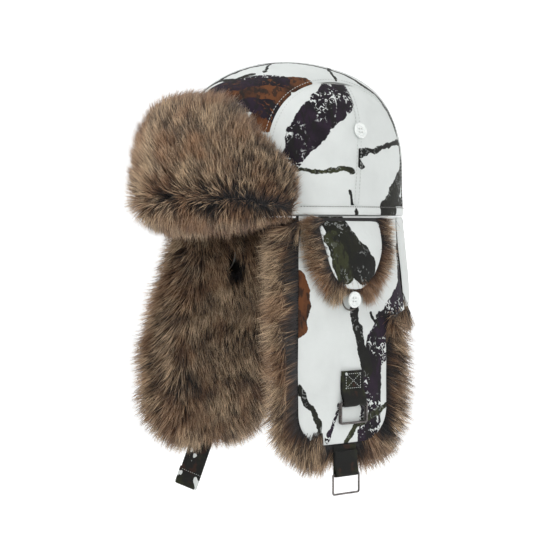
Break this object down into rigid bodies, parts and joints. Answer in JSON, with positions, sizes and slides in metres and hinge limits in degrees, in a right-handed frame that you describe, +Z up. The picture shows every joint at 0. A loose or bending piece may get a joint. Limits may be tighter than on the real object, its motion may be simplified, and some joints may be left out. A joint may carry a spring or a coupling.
{
  "type": "trapper hat",
  "caption": "Fur-lined winter hat with a domed cloth crown, turned-up fur front, hanging ear flaps with small ear covers, a neck flap and chin straps.",
  "frame": {"origin": "middle of the head opening, level with the crown's lower edge", "axes": "+Z up, -Y the way the wearer faces, +X the wearer's left"},
  "size_m": [0.207, 0.2569, 0.3903],
  "materials": {
    "poplin": "matte plain-weave cotton blend with a dark branch and leaf print",
    "fur": "long-pile brown faux fur, dark at the root and tan at the tips",
    "wadding": "lofty white polyester wadding",
    "lining": "dark quilted satin lining",
    "webbing": "dark olive printed cloth strap",
    "button": "glossy white",
    "thread": "white sewing thread",
    "elastic": "dark covered elastic cord",
    "wire": "dark nickel-plated wire"
  },
  "bodies": {
    "crown": {"crown_band": "poplin", "crown_button_left": "button", "crown_button_left_thread": "thread", "crown_button_right": "button", "crown_button_right_thread": "thread", "crown_lining": "lining", "crown_side_left_front": "poplin", "crown_side_left_rear": "poplin", "crown_side_right_front": "poplin", "crown_side_right_rear": "poplin", "crown_top_panel": "poplin", "crown_wadding": "wadding", "sweatband": "lining"},
    "front_flap": {"front_flap_fur": "fur", "front_flap_shell": "poplin"},
    "neck_flap": {"neck_flap_fur": "fur", "neck_flap_shell": "poplin"},
    "ear_flap_left": {"ear_button_left": "button", "ear_button_left_thread": "thread", "ear_flap_left_fur": "fur", "ear_flap_left_shell": "poplin", "keeper_tab_left": "webbing"},
    "ear_flap_right": {"ear_button_right": "button", "ear_button_right_thread": "thread", "ear_flap_right_fur": "fur", "ear_flap_right_shell": "poplin"},
    "ear_cover_left": {"ear_cover_left_fur": "fur", "ear_cover_left_loop": "elastic", "ear_cover_left_shell": "poplin"},
    "ear_cover_right": {"ear_cover_right_fur": "fur", "ear_cover_right_loop": "elastic", "ear_cover_right_shell": "poplin"},
    "keeper_ring_inner": {"keeper_ring_inner": "wire"},
    "keeper_ring_outer": {"keeper_ring_outer": "wire"},
    "chin_strap_left": {"chin_strap_left": "webbing"},
    "chin_ring": {"chin_ring": "wire"},
    "chin_strap_right": {"chin_strap_right": "webbing"}
  },
  "joints": [
    {"name": "front_flap_tip", "type": "hinge", "parent": "crown", "child": "front_flap", "pos_m": [0, -0.113, 0.0005], "axis": [1, 0, 0], "range_deg": [0, 30]},
    {"name": "neck_flap_lift", "type": "hinge", "parent": "crown", "child": "neck_flap", "pos_m": [0, 0.112, -0.0005], "axis": [1, 0, 0], "range_deg": [0, 25], "stiffness_Nm_per_rad": 0.02, "springref_deg": -34.38},
    {"name": "ear_flap_left_fold", "type": "hinge", "parent": "crown", "child": "ear_flap_left", "pos_m": [0.0905, -0.006, 0], "axis": [0, -1, 0], "range_deg": [0, 150], "stiffness_Nm_per_rad": 0.02, "springref_deg": -28.65},
    {"name": "ear_flap_right_fold", "type": "hinge", "parent": "crown", "child": "ear_flap_right", "pos_m": [-0.0905, -0.006, 0], "axis": [0, 1, 0], "range_deg": [0, 150], "stiffness_Nm_per_rad": 0.02, "springref_deg": -28.65},
    {"name": "ear_cover_left_fold", "type": "hinge", "parent": "ear_flap_left", "child": "ear_cover_left", "pos_m": [0.0905, -0.006, -0.001], "axis": [0, 1, 0], "range_deg": [-155, 0]},
    {"name": "ear_cover_right_fold", "type": "hinge", "parent": "ear_flap_right", "child": "ear_cover_right", "pos_m": [-0.0905, -0.006, -0.001], "axis": [0, -1, 0], "range_deg": [-155, 0]},
    {"name": "keeper_ring_inner_swing", "type": "hinge", "parent": "ear_flap_left", "child": "keeper_ring_inner", "pos_m": [0.1001, -0.014, -0.158], "axis": [0, -1, 0], "range_deg": [0, 120]},
    {"name": "keeper_ring_outer_swing", "type": "hinge", "parent": "keeper_ring_inner", "child": "keeper_ring_outer", "pos_m": [0.1001, -0.014, -0.158], "axis": [0, -1, 0], "range_deg": [0, 40]},
    {"name": "chin_strap_left_swing", "type": "hinge", "parent": "ear_flap_left", "child": "chin_strap_left", "pos_m": [0.09598, -0.02, -0.1932], "axis": [0, -1, 0], "range_deg": [0, 90]},
    {"name": "chin_ring_swing", "type": "hinge", "parent": "chin_strap_left", "child": "chin_ring", "pos_m": [0.09778, -0.02, -0.2172], "axis": [0, -1, 0], "range_deg": [-75, 90]},
    {"name": "chin_strap_right_swing", "type": "hinge", "parent": "ear_flap_right", "child": "chin_strap_right", "pos_m": [-0.09598, -0.02, -0.1932], "axis": [0, 1, 0], "range_deg": [0, 90]}
  ]
}
